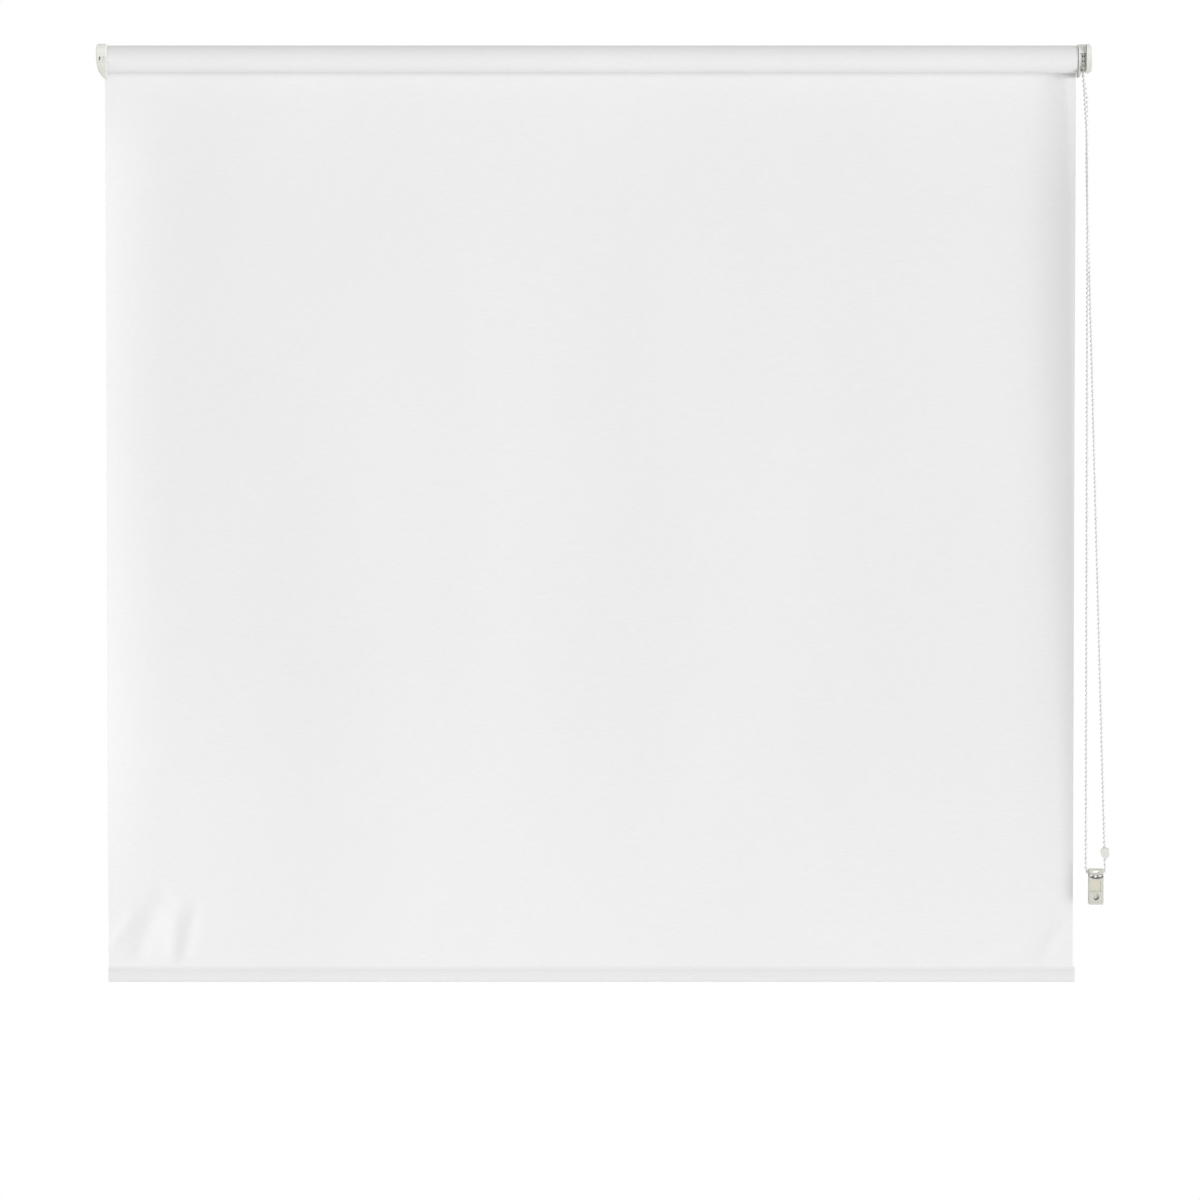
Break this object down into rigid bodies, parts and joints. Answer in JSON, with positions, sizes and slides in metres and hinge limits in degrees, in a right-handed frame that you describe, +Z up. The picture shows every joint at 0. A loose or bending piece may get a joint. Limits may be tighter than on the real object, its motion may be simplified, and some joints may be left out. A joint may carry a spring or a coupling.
{
  "type": "roller blind",
  "caption": "White roller blind with a spring-tensioned bead chain: fabric on a keyed tube, chain clutch, sprung idle end, hem bar, end covers and a wall chain tensioner.",
  "frame": {"origin": "the middle of the four wall screw holes, in the wall plane, level with the roller's axis", "axes": "+X along the roller to the chain side, +Y into the wall, +Z up"},
  "size_m": [1.3284, 0.0569, 1.2341],
  "materials": {
    "blind_fabric": "matte woven polyester",
    "aluminium": "extruded, mill finish",
    "adhesive_tape": "double-sided film tape",
    "white_plastic": "moulded, fine satin",
    "ivory_plastic": "moulded, fine satin",
    "cream_plastic": "moulded, slightly translucent",
    "beige_plastic": "moulded, satin",
    "clear_plastic": "frosted, slightly translucent",
    "chain_plastic": "moulded beads on a polyester thread",
    "zinc_steel": "zinc plated",
    "spring_steel": "drawn wire"
  },
  "bodies": {
    "fixed": {"idle_bracket": "zinc_steel", "idle_bush": "white_plastic", "idle_cover": "ivory_plastic", "control_bracket": "zinc_steel", "control_cover": "ivory_plastic", "chain_guard": "white_plastic", "clutch_core": "white_plastic", "clutch_washer": "zinc_steel", "clutch_end_screw": "zinc_steel", "bracket_screw": "zinc_steel", "chain_wheel_wrap": "chain_plastic", "chain_front_strand": "chain_plastic", "chain_back_strand": "chain_plastic", "chain_lower_bend": "chain_plastic", "tensioner_body": "cream_plastic", "tensioner_back": "cream_plastic", "tensioner_faceplate": "beige_plastic", "tensioner_spring": "spring_steel", "fabric_panel": "blind_fabric"},
    "roller": {"roller_tube": "aluminium", "tube_tape": "adhesive_tape", "fabric_roll": "blind_fabric", "idle_end_plug": "white_plastic", "idle_spring": "spring_steel", "drive_plug": "white_plastic", "chain_sprocket": "ivory_plastic", "wrap_spring_outer": "spring_steel", "wrap_spring_inner": "spring_steel"},
    "idle_pin": {"idle_pin": "white_plastic"},
    "hem": {"hem_pocket": "blind_fabric", "bottom_bar": "aluminium", "bar_cap_left": "white_plastic", "bar_cap_right": "white_plastic"},
    "connector": {"connector_shell": "clear_plastic", "connector_clip": "clear_plastic"},
    "tensioner_slider": {"tensioner_slider": "cream_plastic"}
  },
  "joints": [
    {"name": "roller_turn", "type": "hinge", "parent": "fixed", "child": "roller", "pos_m": [0, -0.032, 0], "axis": [1, 0, 0], "range_deg": [0, 3330]},
    {"name": "hem_lift", "type": "slide", "parent": "fixed", "child": "hem", "axis": [0, 0, 1], "range_m": [0, 1.1396], "deforming": ["fabric_panel"]},
    {"name": "connector_climb", "type": "slide", "parent": "fixed", "child": "connector", "axis": [-0.0292, 0.0135, 0.9995], "range_m": [0, 0.833]},
    {"name": "idle_pin_press", "type": "slide", "parent": "roller", "child": "idle_pin", "axis": [1, 0, 0], "range_m": [0, 0.005], "stiffness_N_per_m": 600, "springref_m": -0.004, "deforming": ["idle_spring"]},
    {"name": "tensioner_draw", "type": "slide", "parent": "fixed", "child": "tensioner_slider", "axis": [0, 0, 1], "range_m": [0, 0.0032], "stiffness_N_per_m": 500, "springref_m": -0.003, "deforming": ["tensioner_spring"]}
  ],
  "couplings": [
    {"joint": "hem_lift", "follows": "roller_turn", "m_per_rad": 0.0196},
    {"joint": "connector_climb", "follows": "roller_turn", "m_per_rad": 0.014324}
  ]
}
